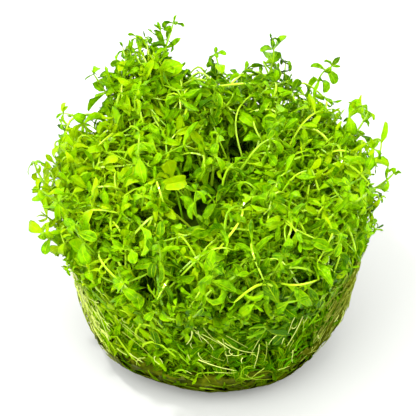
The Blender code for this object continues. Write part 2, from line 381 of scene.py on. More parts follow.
# Paths from the mat to the tips. Below the cup's edge they stay inside its wall
def stemPaths(tips, heading, rings):
    count = len(tips)
    azimuth, radius = polar(tips)
    rootAzimuth = azimuth + dice.normal(0.0, 0.14, count)
    rootRadius = np.minimum(radius * growth["rooting"], growth["rootReach"])
    rootHeight = dice.uniform(*growth["rootHeight"], count)
    roots = outwards(rootAzimuth) * rootRadius[:, None] + up * rootHeight[:, None]
    run = np.linalg.norm(tips - roots, axis=1)[:, None]
    low, high = growth["bow"]
    first = roots + up * low * run + dice.normal(0.0, 0.6 * mm, tips.shape)
    second = tips - heading * high * run
    share = 1.0 - np.linspace(1.0, 0.0, rings)[None, :, None] ** growth["crowding"]
    paths = (
        roots[:, None] * (1 - share) ** 3
        + 3.0 * first[:, None] * share * (1 - share) ** 2
        + 3.0 * second[:, None] * share**2 * (1 - share)
        + tips[:, None] * share**3
    )
    for _ in range(2):
        side = unit(dice.normal(0.0, 1.0, (count, 1, 3)) * (1.0, 1.0, 0.25))
        turns = dice.uniform(*growth["turns"], (count, 1, 1))
        start = dice.uniform(0.0, 2.0 * math.pi, (count, 1, 1))
        reach = dice.uniform(*growth["wobble"], (count, 1, 1))
        paths += side * reach * np.sin(math.pi * share) * np.sin(2.0 * math.pi * turns * share + start)
    return pressed(paths, dice.uniform(*growth["inside"], count)[:, None])


# Stems that arch over the crown from deep in the growth, to ends that lie sunk by the given depth
def arcPaths(count, rings, sunk):
    azimuth = dice.uniform(0.0, 2.0 * math.pi, count)
    radius = growth["arcStart"] * np.sqrt(dice.uniform(0.0, 1.0, count))
    starts = outwards(azimuth) * radius[:, None]
    turn = dice.uniform(0.0, 2.0 * math.pi, count)
    ends = starts + outwards(turn) * dice.uniform(*growth["arcSpan"], count)[:, None]
    for points, sink in ((starts, growth["arcRoot"]), (ends, sunk)):
        azimuth, radius = polar(points)
        points[:, :2] *= np.minimum(1.0, growth["arcReach"] / radius)[:, None]
        points[:, 2] = crownHeight(points[:, 0], points[:, 1]) - sink
    share = np.linspace(0.0, 1.0, rings)[None, :, None]
    lift = dice.uniform(*growth["arcLift"], (count, 1, 1)) + 2.0 * mm
    bow = dice.uniform(-1.0, 1.0, (count, 1, 1))
    sideways = np.cross(up, unit(ends - starts))[:, None] * bow * growth["arcBow"]
    skew = share ** dice.uniform(0.7, 1.5, (count, 1, 1))
    paths = starts[:, None] * (1 - share) + ends[:, None] * share
    return paths + (up * lift + sideways) * np.sin(math.pi * skew)


# Moves points that lie outside the cup back to its wall
def pressed(points, inside):
    azimuth, radius = polar(points)
    height = np.maximum(points[..., 2], 0.3 * mm)
    limit = sideRadius(azimuth, height) - inside + 12.0 * mm * spill(height - 3.0 * mm)
    share = np.minimum(radius, limit) / np.maximum(radius, 1e-9)
    return np.stack((points[..., 0] * share, points[..., 1] * share, height), axis=-1)


# Frames along paths, carried from ring to ring without twisting
def pathFrames(paths):
    tangents = unit(np.gradient(paths, axis=1))
    seed = unit(dice.normal(0.0, 1.0, (len(paths), 3)))
    normal = unit(np.cross(tangents[:, 0], seed))
    normals = [normal]
    for ring in range(1, paths.shape[1]):
        along = tangents[:, ring]
        normal = unit(normal - along * np.sum(normal * along, axis=1, keepdims=True))
        normals.append(normal)
    normals = np.stack(normals, axis=1)
    return tangents, normals, np.cross(tangents, normals)


# Frames that keep a strand's first side towards the cup's wall
def wallFrames(paths):
    tangents = unit(np.gradient(paths, axis=1))
    azimuth, _ = polar(paths)
    normals = outwards(azimuth)
    normals = unit(normals - tangents * np.sum(normals * tangents, axis=-1, keepdims=True))
    return tangents, normals, np.cross(tangents, normals)


def joinStems(name, model, paths, frames, radii, marks, finish):
    _, normals, sides = frames
    rings, corners = model["rings"], model["corners"]
    spread = normals[:, rings] * corners[:, 0, None] + sides[:, rings] * corners[:, 1, None]
    corners = paths[:, rings] + spread * radii[:, rings, None]
    return joinCopies(name, model, corners, marks, finish)


# Leaves

leafing = {
    # the top of a stem, from the tip down: distance to the next pair, size and lowest and highest rise
    "top": ((0.0, 0.36, 40, 78), (0.7 * mm, 0.56, 15, 60), (1.9 * mm, 0.84, 0, 48)),
    "interval": (2.9 * mm, 5.3 * mm),
    "size": (0.62, 1.36),
    "width": (0.55, 1.22),
    "rise": (-22, 50),
    "bend": (-1.4, 1.7),
    "curled": 0.4,
    "curl": (1.6, 3.3),
    "fold": (0.08, 1.0),
    "twist": 0.85,
    "wave": (0.05 * mm, 0.50 * mm),
    "waves": (5.0, 10.0),
    "pairs": 9,
    "stray": 0.16,
    "toneSpread": 0.15,
    "tipShade": 0.12,
    "depthShade": 0.04,
    "deepest": 13.0 * mm,
    "fineTo": 4.6 * mm,
    "lowest": 5.5 * mm,
    "pressedWithin": 3.0 * mm,
    "edge": 31.5 * mm,
    "edgeFade": 4.0 * mm,
    "edgeLoss": 0.62,
    "pressedInside": (-0.3 * mm, 1.4 * mm),
    # dark gaps between the stems: mouth, the way they run down, length and radius
    "gaps": (
        ((-5.0 * mm, -7.0 * mm, 39.5 * mm), (0.0, 0.73, -0.68), 14.0 * mm, 4.3 * mm),
        ((5.2 * mm, 9.5 * mm, 43.0 * mm), (0.1, 0.73, -0.68), 13.0 * mm, 3.4 * mm),
        ((0.3 * mm, 0.5 * mm, 41.0 * mm), (0.0, 0.73, -0.68), 10.0 * mm, 2.7 * mm),
        ((-14.0 * mm, -26.0 * mm, 36.0 * mm), (0.2, 0.80, -0.60), 9.0 * mm, 2.6 * mm),
        ((15.5 * mm, -14.0 * mm, 38.0 * mm), (0.0, 0.75, -0.66), 9.0 * mm, 2.2 * mm),
        ((-9.2 * mm, -0.8 * mm, 41.5 * mm), (0.0, 0.73, -0.68), 9.0 * mm, 2.3 * mm),
    ),
}


# Tells which points lie in a gap, which narrows as it runs down
def inGaps(points):
    inside = np.zeros(points.shape[:-1], bool)
    for mouth, way, length, radius in leafing["gaps"]:
        way = unit(np.array(way))
        along = (points - mouth) @ way
        nearest = np.clip(along, -8.0 * mm, length)
        away = np.linalg.norm(points - mouth - nearest[..., None] * way, axis=-1)
        inside |= away < radius * (1.0 - 0.5 * np.clip(nearest / length, 0.0, 1.0))
    return inside


# The leaves of stems, as crossed pairs from the tip down
def growLeaves(paths, frames, tones, plan):
    tangents, normals, _ = frames
    count, rings = paths.shape[:2]
    runs = np.linalg.norm(np.diff(paths[:, ::-1], axis=1), axis=2)
    fromTip = np.concatenate((np.zeros((count, 1)), np.cumsum(runs, axis=1)), axis=1)
    found = {key: [] for key in ("base", "tangent", "normal", "phase", "size", "width", "rise", "tone")}
    for stem in range(count):
        distance = 0.0
        phase = dice.uniform(0.0, math.pi)
        for pair in range(plan["pairs"]):
            if pair < len(plan["top"]):
                step, size, low, high = plan["top"][pair]
                size *= dice.uniform(0.85, 1.15)
            else:
                step = dice.uniform(*plan["interval"])
                size = dice.uniform(*plan["size"])
                low, high = leafing["rise"]
            distance += step
            if distance > fromTip[stem, -1]:
                break
            place = np.interp(distance, fromTip[stem], np.arange(rings)[::-1])
            ring = int(place)
            share = place - ring
            after = min(ring + 1, rings - 1)
            base = paths[stem, ring] * (1 - share) + paths[stem, after] * share
            for side in range(2):
                found["base"].append(base)
                found["tangent"].append(tangents[stem, ring])
                found["normal"].append(normals[stem, ring])
                found["phase"].append(phase + side * math.pi + dice.normal(0.0, leafing["stray"]))
                found["size"].append(size * dice.uniform(0.88, 1.12))
                found["width"].append(dice.uniform(*plan["width"]))
                found["rise"].append(math.radians(dice.uniform(low, high)))
                tone = tones[stem] + dice.normal(0.0, leafing["toneSpread"])
                found["tone"].append(tone - leafing["tipShade"] * (pair == 0))
            phase += math.pi / 2.0 + dice.normal(0.0, 0.2)
    return {key: np.array(values) for key, values in found.items()}


sprigging = {
    "top": (
        (0.0, 0.38, 20, 60),
        (0.2 * mm, 0.50, 0, 30),
        (2.3 * mm, 0.74, -10, 35),
        (3.4 * mm, 0.92, -15, 40),
    ),
    "interval": (3.2 * mm, 4.4 * mm),
    "size": (0.85, 1.2),
    "width": (1.10, 1.45),
    "pairs": 5,
    "origin": 22.0 * mm,
    "root": 6.0 * mm,
    "sunk": 1.0 * mm,
    "radius": 0.26 * mm,
    "sway": (0.8 * mm, 3.2 * mm),
    "tone": (0.25, 0.45),
}


# Turns each leaf's blade to the light, or flat against the cup's wall
def leafFrames(leaves):
    tangent, normal = leaves["tangent"], leaves["normal"]
    phase, rise = leaves["phase"][:, None], leaves["rise"][:, None]
    away = normal * np.cos(phase) + np.cross(tangent, normal) * np.sin(phase)
    along = away * np.cos(rise) + tangent * np.sin(rise)
    level = tangent * np.cos(rise) - away * np.sin(rise)
    azimuth, _ = polar(leaves["base"])
    radial = outwards(azimuth)
    level = unit(level + 0.2 * unit(up + 0.4 * radial) + dice.normal(0.0, 0.2, level.shape))
    _, fromSide = depths(leaves["base"])
    near = eased(1.0 - (fromSide - 0.5 * mm) / leafing["pressedWithin"])
    press = near * (1.0 - spill(leaves["base"][:, 2])) * dice.uniform(0.0, 0.6, len(near))
    press = press[:, None]
    level = unit(level * (1.0 - press) + radial * 1.6 * press)
    along = along + dice.normal(0.0, 0.2, along.shape)
    along = unit(along - level * np.sum(along * level, axis=1, keepdims=True))
    return along, level


def drawLeaves(model, leaves, along, level, inside=leafing["pressedInside"]):
    count = len(along)
    x, y, lift = model["corners"].T
    size = leaves["size"][:, None]
    start = dice.uniform(0.0, 2.0 * math.pi, (count, 1)) + 1.3 * np.sign(x)
    wave = np.sin(dice.uniform(*leafing["waves"], (count, 1)) * y / leafShape["length"] + start)
    wave = wave * dice.uniform(*leafing["wave"], (count, 1)) * size * np.abs(x) / (0.5 * leafShape["width"])
    x = x * size * leaves["width"][:, None]
    y = y * size
    bend = dice.uniform(*leafing["bend"], (count, 1))
    curl = dice.uniform(*leafing["curl"], (count, 1))
    isCurled = dice.uniform(0.0, 1.0, (count, 1)) < leafing["curled"]
    bend = np.where(isCurled, curl, bend) / (leafShape["length"] * size)
    bend = np.where(np.abs(bend) < 1.0, 1.0, bend)  # a straight leaf still divides by its bend below
    fold = dice.uniform(*leafing["fold"], (count, 1))
    turn = dice.normal(0.0, leafing["twist"], (count, 1)) * y / (leafShape["length"] * size)
    flat = np.cos(fold) * x
    raised = np.sin(fold) * np.abs(x) + wave
    sideways = flat * np.cos(turn) - raised * np.sin(turn)
    raised = flat * np.sin(turn) + raised * np.cos(turn)
    sine, cosine = np.sin(bend * y), np.cos(bend * y)
    forth = sine / bend + raised * sine
    upward = (cosine - 1.0) / bend + raised * cosine
    across = np.cross(along, level)
    middle = (
        leaves["base"][:, None]
        + across[:, None] * sideways[..., None]
        + along[:, None] * forth[..., None]
        + level[:, None] * upward[..., None]
    )
    middle = pressed(middle, dice.uniform(*inside, (count, 1)))
    facing = level[:, None] * cosine[..., None] + along[:, None] * sine[..., None]
    return middle + facing * lift[None, :, None]


# Materials

leafLook = {
    "dark": (0.028, 0.118, 0.0003, 1.0),
    "middle": (0.162, 0.376, 0.0004, 1.0),
    "light": (0.270, 0.400, 0.0008, 1.0),
    "veins": (0.35, 0.53, 0.004, 1.0),
    # edge and margin: leaf margins, dark on some leaves and pale on others; the pale margin is a painted
    # highlight along the edge
    "edge": (0.036, 0.140, 0.0004, 1.0),
    "margin": (0.31, 0.46, 0.003, 1.0),
    "old": (0.034, 0.056, 0.0003, 1.0),
    "through": (1.7, 1.4, 0.5, 1.0),
    "translucent": 0.5,
    # across a blade from 0 to 1 and along it
    "rib": 0.035,
    "veinSlant": 0.9,
    "veinTurns": 40.0,
    "veinFrom": 0.7,
    "paleBase": 0.4,
    "marginFrom": 0.36,
    "roughness": 0.11,
    "specular": 0.15,
    "sheen": (0.80, 1.0, 0.12, 1.0),
}
stemLook = {
    "dark": (0.065, 0.22, 0.001, 1.0),
    "light": (0.35, 0.53, 0.012, 1.0),
    "old": (0.030, 0.040, 0.0006, 1.0),
    "translucent": 0.3,
    "roughness": 0.09,
    "specular": 0.48,
    "sheen": (0.95, 1.0, 0.6, 1.0),
}
rootLook = {
    "dark": (0.22, 0.30, 0.015, 1.0),
    "light": (0.50, 0.58, 0.13, 1.0),
    "old": (0.090, 0.105, 0.006, 1.0),
    "translucent": 0.25,
    "roughness": 0.3,
    "specular": 0.3,
    "sheen": (1.0, 1.0, 0.6, 1.0),
}
filmLook = {
    "dark": (0.060, 0.075, 0.003, 1.0),
    "light": (0.400, 0.480, 0.080, 1.0),
    "old": (0.029, 0.038, 0.0004, 1.0),
    "translucent": 0.15,
    "roughness": 0.35,
    "specular": 0.25,
    "sheen": (1.0, 1.0, 0.6, 1.0),
}
matLook = {
    "dark": (0.010, 0.016, 0.0003, 1.0),
    "middle": (0.032, 0.045, 0.0006, 1.0),
    "light": (0.085, 0.100, 0.002, 1.0),
    "roughness": 0.5,
    "specular": 0.02,
    "sheen": (0.9, 1.0, 0.3, 1.0),
}
# the inside mass, coloured near-black as painted shade
coreShadeLook = {
    "dark": (0.006, 0.014, 0.0003, 1.0),
    "middle": (0.020, 0.045, 0.0004, 1.0),
    "light": (0.060, 0.110, 0.001, 1.0),
    "roughness": 0.6,
    "specular": 0.2,
    "sheen": (0.8, 1.0, 0.2, 1.0),
}


def startFinish(name):
    finish = bpy.data.materials.new(name)
    finish.use_nodes = True
    finish.node_tree.nodes.clear()
    return finish


def addNode(finish, kind, **settings):
    node = finish.node_tree.nodes.new(kind)
    for key, value in settings.items():
        setattr(node, key, value)
    return node


def link(finish, source, target):
    finish.node_tree.links.new(source, target)


# A number that is written on each corner of the piece
def readMark(finish, mark):
    return addNode(finish, "ShaderNodeAttribute", attribute_name=mark).outputs["Fac"]


def ramp(finish, source, stops):
    node = addNode(finish, "ShaderNodeValToRGB")
    while len(node.color_ramp.elements) < len(stops):
        node.color_ramp.elements.new(0.5)
    for element, (place, colour) in zip(node.color_ramp.elements, stops):
        element.position = place
        element.color = colour
    link(finish, source, node.inputs["Fac"])
    return node.outputs["Color"]


def noise(finish, scale, detail):
    place = addNode(finish, "ShaderNodeTexCoord")
    node = addNode(finish, "ShaderNodeTexNoise")
    node.inputs["Scale"].default_value = scale
    node.inputs["Detail"].default_value = detail
    link(finish, place.outputs["Object"], node.inputs["Vector"])
    return node.outputs["Fac"]


def calculate(finish, operation, first, second):
    node = addNode(finish, "ShaderNodeMath", operation=operation)
    for socket, value in zip(node.inputs, (first, second)):
        if isinstance(value, float):
            socket.default_value = value
        else:
            link(finish, value, socket)
    return node.outputs["Value"]


def bump(finish, height, distance):
    node = addNode(finish, "ShaderNodeBump")
    node.inputs["Strength"].default_value = 0.6
    node.inputs["Distance"].default_value = distance
    link(finish, height, node.inputs["Height"])
    return node.outputs["Normal"]


def addSurface(finish, colour, look, normal):
    surface = addNode(finish, "ShaderNodeBsdfPrincipled")
    surface.inputs["Roughness"].default_value = look["roughness"]
    surface.inputs["Specular Tint"].default_value = look["sheen"]
    link(finish, colour, surface.inputs["Base Color"])
    link(finish, normal, surface.inputs["Normal"])
    return surface


def endFinish(finish, shader):
    output = addNode(finish, "ShaderNodeOutputMaterial")
    link(finish, shader, output.inputs["Surface"])
    return finish


# A thin green blade: part of the light bounces off, and part shines through
def plantShader(finish, colour, through, look, normal):
    surface = addSurface(finish, colour, look, normal)
    shine = calculate(finish, "MULTIPLY", readMark(finish, "gloss"), look["specular"])
    link(finish, shine, surface.inputs["Specular IOR Level"])
    glow = addNode(finish, "ShaderNodeBsdfTranslucent")
    link(finish, normal, glow.inputs["Normal"])
    link(finish, through, glow.inputs["Color"])
    mixed = addNode(finish, "ShaderNodeMixShader")
    mixed.inputs["Fac"].default_value = look["translucent"]
    link(finish, surface.outputs["BSDF"], mixed.inputs[1])
    link(finish, glow.outputs["BSDF"], mixed.inputs[2])
    return endFinish(finish, mixed.outputs["Shader"])


# The tone of each copy, mottled by a noise round its middle
def mottledTone(finish, scale, detail, amount):
    tone = readMark(finish, "tone")
    grain = calculate(finish, "MULTIPLY", noise(finish, scale, detail), amount)
    return calculate(finish, "SUBTRACT", calculate(finish, "ADD", tone, grain), 0.5 * amount)


def blend(finish, colour, other, share):
    mixed = addNode(finish, "ShaderNodeMix", data_type="RGBA")
    link(finish, share, mixed.inputs["Factor"])
    link(finish, colour, mixed.inputs["A"])
    if isinstance(other, tuple):
        mixed.inputs["B"].default_value = other
    else:
        link(finish, other, mixed.inputs["B"])
    return mixed.outputs["Result"]


def leafFinish():
    finish = startFinish("leafBlade")
    stops = ((0.1, leafLook["dark"]), (0.5, leafLook["middle"]), (0.95, leafLook["light"]))
    colour = ramp(finish, mottledTone(finish, 900.0, 4.0, 1.0), stops)
    grid = addNode(finish, "ShaderNodeUVMap", uv_map="growthMap")
    parts = addNode(finish, "ShaderNodeSeparateXYZ")
    link(finish, grid.outputs["UV"], parts.inputs["Vector"])
    off = calculate(finish, "ABSOLUTE", calculate(finish, "SUBTRACT", parts.outputs["X"], 0.5), 0.0)
    rib = calculate(finish, "LESS_THAN", off, leafLook["rib"])
    slant = calculate(finish, "MULTIPLY", off, leafLook["veinSlant"])
    slant = calculate(finish, "SUBTRACT", parts.outputs["Y"], slant)
    turns = calculate(finish, "MULTIPLY", slant, leafLook["veinTurns"])
    side = calculate(finish, "GREATER_THAN", calculate(finish, "SINE", turns, 0.0), leafLook["veinFrom"])
    base = calculate(finish, "SUBTRACT", leafLook["paleBase"], parts.outputs["Y"])
    rib = calculate(finish, "MULTIPLY", rib, 0.6)
    side = calculate(finish, "MULTIPLY", side, 0.2)
    pale = calculate(finish, "MAXIMUM", calculate(finish, "MAXIMUM", rib, side), base)
    edge = calculate(finish, "MAXIMUM", calculate(finish, "SUBTRACT", off, leafLook["marginFrom"]), 0.0)
    colour = blend(finish, colour, leafLook["veins"], pale)
    # margins, dark on some leaves and pale on others, the pale one a painted highlight along the edge
    stops = ((0.50, leafLook["edge"]), (0.56, leafLook["margin"]))
    margin = ramp(finish, noise(finish, 190.0, 0.0), stops)
    colour = blend(finish, colour, margin, calculate(finish, "MULTIPLY", edge, 5.0))
    colour = blend(finish, colour, leafLook["old"], readMark(finish, "age"))
    through = addNode(finish, "ShaderNodeMix", data_type="RGBA", blend_type="MULTIPLY")
    through.inputs["Factor"].default_value = 1.0
    link(finish, colour, through.inputs["A"])
    through.inputs["B"].default_value = leafLook["through"]
    through.clamp_result = True
    relief = calculate(finish, "ADD", noise(finish, 1700.0, 3.0), calculate(finish, "MULTIPLY", pale, -0.8))
    normal = bump(finish, relief, 0.3 * mm)
    return plantShader(finish, colour, through.outputs["Result"], leafLook, normal)


def strandFinish(name, look, scale=500.0, amount=0.3):
    finish = startFinish(name)
    stops = ((0.1, look["dark"]), (0.9, look["light"]))
    colour = ramp(finish, mottledTone(finish, scale, 3.0, amount), stops)
    colour = blend(finish, colour, look["old"], readMark(finish, "age"))
    normal = bump(finish, noise(finish, 2600.0, 1.0), 0.03 * mm)
    return plantShader(finish, colour, colour, look, normal)


def bodyFinish(name, look):
    finish = startFinish(name)
    stops = ((0.3, look["dark"]), (0.5, look["middle"]), (0.72, look["light"]))
    colour = ramp(finish, noise(finish, 420.0, 5.0), stops)
    surface = addSurface(finish, colour, look, bump(finish, noise(finish, 1500.0, 4.0), 0.3 * mm))
    surface.inputs["Specular IOR Level"].default_value = look["specular"]
    return endFinish(finish, surface.outputs["BSDF"])


# The thicket

leafMaterial = leafFinish()
stemMaterial = strandFinish("paleStem", stemLook)
rootMaterial = strandFinish("paleRoot", rootLook)
fineLeaf = modelLeaf("fine leaf", leafShape["fine"])
plainLeaf = modelLeaf("plain leaf", leafShape["plain"])
stemModel = modelStem("stem", stemShape["rings"], stemShape["sides"])


shading = {
    "oldBelow": 14.5 * mm,
    "oldFade": 9.0 * mm,
    "oldest": 0.96,
    "glossAbove": 23.0 * mm,
    "glossFade": 15.0 * mm,
    # amounts of painted light and shade in the leaves' tone, down to lowest
    "rim": 0.16,
    "left": 0.20,
    "back": 0.08,
    "saddle": 0.14,
    "front": 0.19,
    "low": 0.38,
    "lowest": 0.02,
    "palest": 0.86,
}


# Growth next to the mat is old and olive, and what the cup pressed is dull
def agesOf(points):
    return falling(points[..., 2], shading["oldBelow"], shading["oldFade"]) * shading["oldest"]


def glossOf(points):
    return rising(points[..., 2], shading["glossAbove"], shading["glossFade"])


# Painted light and shade in the leaves' tone: painted light at the left, high up at the right and at the
# spilling edge, and painted shade at the back, at the front and low down, most of it low at the right
def paintedLight(points):
    _, radius = polar(points)
    x, y, height = np.moveaxis(points, -1, 0)
    rim = rising(radius, 22.0 * mm, 14.0 * mm) * rising(height, 26.0 * mm, 10.0 * mm)
    rim = rim * falling(y, 20.0 * mm, 12.0 * mm) * eased(0.5 + (y + 12.0 * mm) / (20.0 * mm))
    left = falling(x, -8.0 * mm, 14.0 * mm) * (1.0 - 0.6 * rising(y, 12.0 * mm, 14.0 * mm))
    left = left + 0.5 * rising(x, 17.0 * mm, 12.0 * mm) * rising(height, 36.0 * mm, 8.0 * mm)
    saddle = np.exp(-(((x - 8.0 * mm) / (9.0 * mm)) ** 2))
    back = rising(y, 8.0 * mm, 20.0 * mm) * (shading["back"] + shading["saddle"] * saddle)
    front = falling(y, -12.0 * mm, 12.0 * mm) * (0.35 + 0.65 * rising(x, -4.0 * mm, 16.0 * mm))
    low = shading["low"] * eased(0.5 + x / (44.0 * mm)) - shading["lowest"]
    low = falling(height, 36.0 * mm, 16.0 * mm) * low
    return shading["rim"] * rim + shading["left"] * left - back - shading["front"] * front - low


def addLeaves(name, model, leaves, along, level, nodes, inside=leafing["pressedInside"]):
    corners = drawLeaves(model, leaves, along, level, inside)
    base = leaves["base"]
    # painted light and shade added to each leaf's tone
    tone = np.clip(leaves["tone"] + paintedLight(base), 0.0, shading["palest"])
    marks = {"tone": tone, "age": agesOf(base), "gloss": glossOf(base)}
    piece = joinCopies(name, model, corners, marks, leafMaterial)
    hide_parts(*nodes)
    return piece


def buildThicket():
    groups = [crownTips(), rimTips()]
    tips = np.concatenate([group[0] for group in groups])
    heading = np.concatenate([group[1] for group in groups])
    paths = stemPaths(tips, heading, stemShape["rings"])
    paths[..., 0] += form["crownShift"] * spill(paths[..., 2])
    count = growth["runners"]
    runners = arcPaths(count, stemShape["rings"], dice.uniform(-2.0 * mm, 1.0 * mm, count))
    paths = np.concatenate((paths, runners))
    paths = paths[~inGaps(paths[:, -5:]).any(axis=1)]
    frames = pathFrames(paths)
    tones = np.clip(dice.normal(0.49, 0.14, len(paths)), 0.1, 0.9)
    leaves = growLeaves(paths, frames, tones, leafing)

    arcs = arcPaths(growth["arcs"], stemShape["rings"], 2.5 * mm)
    arcs = arcs[inGaps(arcs).sum(axis=1) < 3]
    paths = np.concatenate((paths, arcs))
    tones = np.concatenate((tones, dice.uniform(*growth["arcTone"], len(arcs))))
    radii = dice.uniform(*growth["radius"], (len(paths), 1)) * np.linspace(1.1, 0.8, stemShape["rings"])
    frames = pathFrames(paths)
    depth, _ = depths(paths)
    # painted shade: stems are darker the deeper they lie inside the growth
    tones = np.clip(tones[:, None] + 0.12 - 0.03 * np.maximum(depth, 0.0) / mm, 0.0, 1.0)
    marks = {"tone": tones, "age": agesOf(paths), "gloss": glossOf(paths)}
    stems = joinStems("stems", stemModel, paths, frames, radii, marks, stemMaterial)
    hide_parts("thicket")

    depth, _ = depths(leaves["base"])
    along, level = leafFrames(leaves)
    centres = leaves["base"] + along * 0.5 * leafShape["length"] * leaves["size"][:, None]
    kept = (depth < leafing["deepest"]) & (leaves["base"][:, 2] > leafing["lowest"]) & ~inGaps(centres)
    _, outer = polar(centres)
    towardsEdge = rising(outer, leafing["edge"], leafing["edgeFade"])
    share = leafing["edgeLoss"] * towardsEdge * spill(centres[:, 2])
    x, y, spread, _ = growth["added"]
    away = np.sum((centres[:, :2] - (x, y)) ** 2, axis=1) / (2.0 * spread) ** 2
    share *= 1.0 - np.exp(-away)
    kept &= dice.uniform(0.0, 1.0, len(share)) > share
    leaves = {key: values[kept] for key, values in leaves.items()}
    along, level, depth = along[kept], level[kept], depth[kept]
    # painted shade: leaves deeper inside the growth are darker
    leaves["tone"] = leaves["tone"] - leafing["depthShade"] * np.maximum(depth, 0.0) / mm
    fine = depth < leafing["fineTo"]
    azimuth, _ = polar(leaves["base"])
    quarter = np.floor((azimuth + math.pi) / (math.pi / 2.0)).astype(int) % 4
    sorts = [("leaves_inner", plainLeaf, ~fine)]
    for number, side in enumerate(("front_left", "front_right", "back_right", "back_left")):
        sorts.append(("leaves_" + side, fineLeaf, fine & (quarter == number)))
    for name, model, chosen in sorts:
        own = {key: values[chosen] for key, values in leaves.items()}
        piece = addLeaves(name, model, own, along[chosen], level[chosen], ["thicket"])


buildThicket()


# Single sprigs, each where its node stands

def sprigPath(node):
    points = cornersOf(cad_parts[node].data)
    foot = points[np.argmin(np.linalg.norm(points - up * sprigging["origin"], axis=1))]
    heading = unit(points.mean(axis=0) - foot)
    tip = foot + heading * (((points - foot) @ heading).max() - sprigging["sunk"])
    share = np.linspace(0.0, 1.0, stemShape["rings"])[:, None]
    root = foot - heading * sprigging["root"]
    sway = np.cross(heading, unit(dice.normal(0.0, 1.0, 3))) * dice.uniform(*sprigging["sway"])
    return root * (1 - share) + tip * share + sway * np.sin(math.pi * share**1.5)


def buildSprigs():
    nodes = sorted(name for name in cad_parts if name.startswith("sprig"))
    paths = np.stack([sprigPath(node) for node in nodes])
    frames = pathFrames(paths)
    tones = dice.uniform(*sprigging["tone"], len(paths))
    leaves = growLeaves(paths, frames, tones, sprigging)
    along, level = leafFrames(leaves)
    tops = addLeaves("sprig_leaves", fineLeaf, leaves, along, level, nodes)
    radii = sprigging["radius"] * np.ones((len(paths), 1)) * np.linspace(1.2, 0.8, stemShape["rings"])
    marks = {"tone": tones + 0.1, "age": np.zeros(len(paths)), "gloss": np.ones(len(paths))}
    stalks = joinStems("sprig_stems", stemModel, paths, frames, radii, marks, stemMaterial)
    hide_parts(*nodes)


buildSprigs()


# Root mat

mat = {
    "segments": 96,
    "rings": 12,
    "inset": 0.8 * mm,
    "lump": 2.2 * mm,
    "lumpRise": 0.7 * mm,
    "strands": 300,
    "strandLength": (2.5 * mm, 7.5 * mm),
    "strandRadius": (0.07 * mm, 0.16 * mm),
    "strandHeight": (0.6 * mm, 10.0 * mm),
}


def buildMatBody():
    low, radius = 0.0, form["footRadius"] - 0.5 * mat["inset"]
    body = startRing("mat_body", mat["segments"], radius, low, "NGON")
    for ring in range(1, mat["rings"] + 1):
        height = form["matTop"] * (ring / mat["rings"]) ** 1.6
        wider = float(cupRadius(np.array(height))) - mat["inset"]
        raiseRing(height - low, height, wider / radius)
        low, radius = height, wider
    for share in (0.9, 0.6, 0.3):
        raiseRing(0.3 * mm, 0.0, share)
    closeShape()
    rough = body.vertex_groups.new(name="rough")
    raised = [corner.index for corner in body.data.vertices if corner.co.z > 0.2 * mm]
    rough.add(raised, 1.0, "REPLACE")
    lumps = bpy.data.textures.new("matLumps", "CLOUDS")
    lumps.noise_scale = mat["lump"]
    lumps.noise_depth = 2
    swell = body.modifiers.new("lumps", "DISPLACE")
    swell.texture = lumps
    swell.strength = mat["lumpRise"]
    swell.mid_level = 0.5
    swell.vertex_group = "rough"
    bpy.ops.object.modifier_apply(modifier="lumps")
    bpy.ops.object.shade_smooth()
    body.data.materials.append(bodyFinish("oliveMat", matLook))
    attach(body, "root")
    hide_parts("root_mat")
    print("made mat_body")


# Strands that lie on the cup's side, each drifting from its start by a heading that wanders
def wallStrands(azimuth, height, heading, length, rings, outside, wander):
    count = len(azimuth)
    step = length / (rings - 1)
    points = []
    bend = dice.normal(0.0, wander, count)
    for _ in range(rings):
        radius = sideRadius(azimuth, height) + outside
        points.append(outwards(azimuth) * radius[:, None] + up * height[:, None])
        azimuth = azimuth + np.cos(heading) * step / radius
        height = np.maximum(height + np.sin(heading) * step, 0.35 * mm)
        heading = heading + bend + dice.normal(0.0, wander, count)
    return np.stack(points, axis=1)


def buildMatStrands():
    count = mat["strands"]
    azimuth = dice.uniform(0.0, 2.0 * math.pi, count)
    height = dice.uniform(*mat["strandHeight"], count)
    heading = dice.normal(0.0, 0.9, count) + math.pi * dice.integers(0, 2, count)
    length = dice.uniform(*mat["strandLength"], count)
    outside = dice.uniform(-0.8 * mm, -0.2 * mm, count)
    paths = wallStrands(azimuth, height, heading, length, stemShape["rings"], outside, 0.12)
    radii = dice.uniform(*mat["strandRadius"], (count, 1)) * np.ones(stemShape["rings"])
    marks = {
        "tone": dice.uniform(0.0, 0.8, count),
        "age": dice.uniform(0.55, 1.0, count),
        "gloss": np.zeros(count),
    }
    frames = wallFrames(paths)
    strands = joinStems("mat_strands", stemModel, paths, frames, radii, marks, stemMaterial)
    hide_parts("root_mat")


buildMatBody()
buildMatStrands()


# The growth that the cup pressed flat

wall = {
    "stems": 340,
    "length": (4.5 * mm, 11.0 * mm),
    "height": (7.5 * mm, 31.0 * mm),
    "inside": (0.2 * mm, 2.8 * mm),
    "radius": (0.16 * mm, 0.27 * mm),
    "wander": 0.26,
    "gloss": 0.4,
    "paler": 0.15,
    "tone": 0.58,
    "toneSpread": 0.13,
    "shade": 0.19,
    "top": ((0.0, 0.55, 5, 60), (1.5 * mm, 0.85, 0, 45)),
    "interval": (2.8 * mm, 4.6 * mm),
    "size": (0.88, 1.72),
    "width": (0.34, 0.92),
    "pairs": 4,
}
core = {
    "segments": 48,
    "rings": 9,
    "low": 7.0 * mm,
    "inset": 3.2 * mm,
    "top": 28.0 * mm,
    "crown": 31.0 * mm,
}
